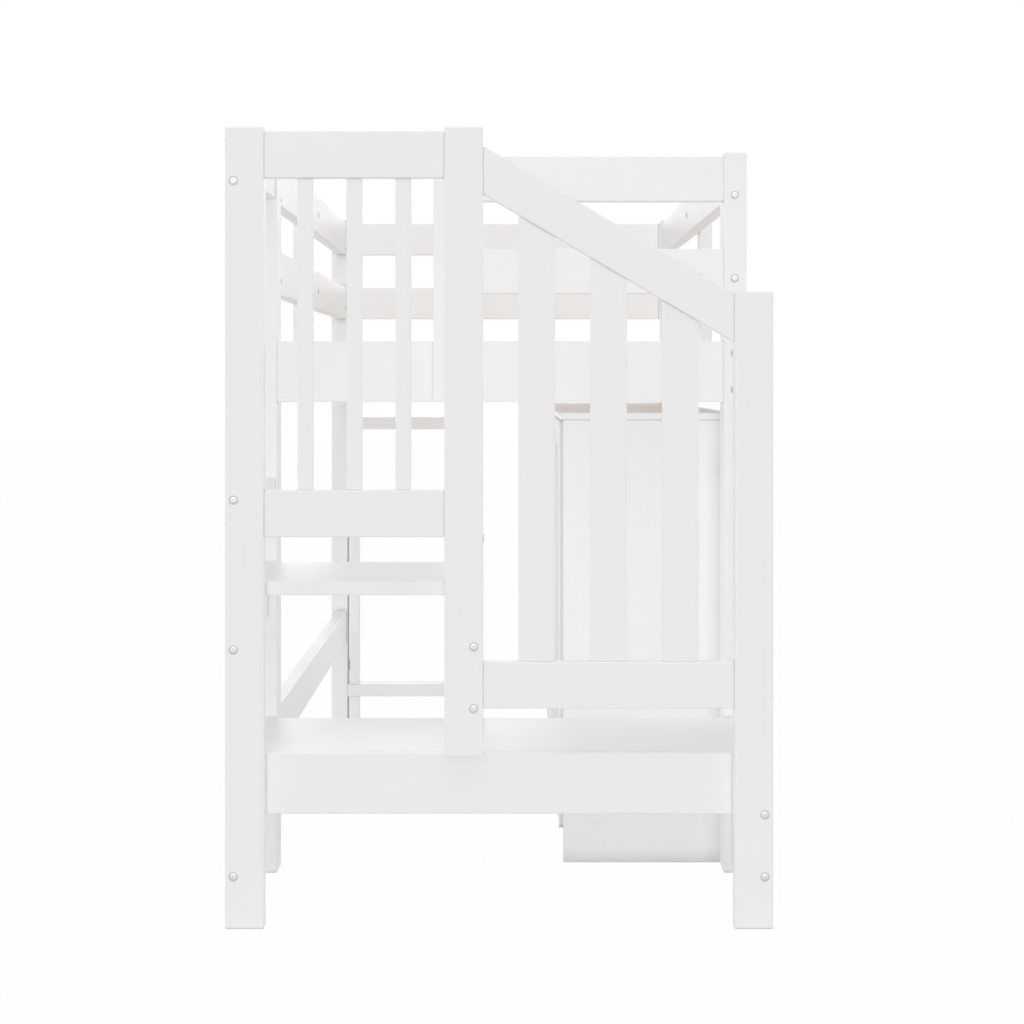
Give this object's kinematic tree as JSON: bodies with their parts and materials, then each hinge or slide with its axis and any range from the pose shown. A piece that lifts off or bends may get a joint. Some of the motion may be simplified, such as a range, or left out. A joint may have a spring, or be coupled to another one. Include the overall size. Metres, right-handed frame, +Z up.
{
  "type": "loft bed with storage stairs",
  "caption": "White twin loft bed with wide steps and slatted guards at its foot, and a long cabinet with hinged doors beneath the platform.",
  "frame": {"origin": "centre of the bounding box at floor level", "axes": "+X across the bed towards the cabinet side, +Y along the bed from the stair to the head end, +Z up"},
  "size_m": [1.116, 2.495, 1.58],
  "materials": {
    "painted_wood": "satin white paint",
    "cabinet_interior": "matt white laminate",
    "deck_slats": "bare sanded pine",
    "fittings": "bright zinc"
  },
  "bodies": {
    "frame": {"bed_post_far_left": "painted_wood", "bed_post_far_right": "painted_wood", "bed_post_near_left": "painted_wood", "bed_post_near_right": "painted_wood", "cabinet_back": "cabinet_interior", "cabinet_floor": "cabinet_interior", "cabinet_kick": "painted_wood", "cabinet_partition": "painted_wood", "cabinet_shelf_far": "cabinet_interior", "cabinet_shelf_near": "cabinet_interior", "cabinet_side_far": "painted_wood", "cabinet_side_near": "painted_wood", "cabinet_top": "painted_wood", "end_rail_far": "painted_wood", "end_rail_near": "painted_wood", "entry_post": "painted_wood", "far_guard_rail_lower": "painted_wood", "far_guard_rail_upper": "painted_wood", "guard_post_left": "painted_wood", "guard_post_right": "painted_wood", "landing_rail_lower": "painted_wood", "landing_rail_upper": "painted_wood", "landing_side_rail_lower": "painted_wood", "landing_side_rail_upper": "painted_wood", "landing_slat_1": "painted_wood", "landing_slat_2": "painted_wood", "landing_slat_3": "painted_wood", "left_guard_rail_lower": "painted_wood", "left_guard_rail_upper": "painted_wood", "long_rail_lower": "painted_wood", "near_guard_rail_lower": "painted_wood", "near_guard_rail_upper": "painted_wood", "rack_shelf": "painted_wood", "rack_side_left": "painted_wood", "rack_side_right": "painted_wood", "rack_top": "painted_wood", "right_guard_rail_lower": "painted_wood", "right_guard_rail_upper": "painted_wood", "riser_lower": "painted_wood", "riser_upper": "painted_wood", "side_rail_left": "painted_wood", "side_rail_right": "painted_wood", "slat_deck": "deck_slats", "stair_corner_stile": "painted_wood", "stair_post_left": "painted_wood", "stair_post_middle": "painted_wood", "stair_post_right": "painted_wood", "stair_rail_lower": "painted_wood", "stair_rail_upper": "painted_wood", "stair_slat_1": "painted_wood", "stair_slat_2": "painted_wood", "stair_slat_3": "painted_wood", "tread_lower": "painted_wood", "tread_lower_apron": "painted_wood", "tread_upper": "painted_wood"},
    "door_1": {"cabinet_door_1": "painted_wood"},
    "door_2": {"cabinet_door_2": "painted_wood"},
    "door_3": {"cabinet_door_3": "painted_wood"},
    "door_4": {"cabinet_door_4": "painted_wood"}
  },
  "joints": [
    {"name": "door_1_hinge", "type": "hinge", "parent": "frame", "child": "door_1", "pos_m": [0.139, -0.6565, 0.53], "axis": [0, 0, 1], "range_deg": [0, 90]},
    {"name": "door_2_hinge", "type": "hinge", "parent": "frame", "child": "door_2", "pos_m": [0.139, 0.1925, 0.53], "axis": [0, 0, 1], "range_deg": [-90, 0]},
    {"name": "door_3_hinge", "type": "hinge", "parent": "frame", "child": "door_3", "pos_m": [0.139, 0.2725, 0.53], "axis": [0, 0, 1], "range_deg": [0, 90]},
    {"name": "door_4_hinge", "type": "hinge", "parent": "frame", "child": "door_4", "pos_m": [0.139, 1.1215, 0.53], "axis": [0, 0, 1], "range_deg": [-90, 0]}
  ]
}
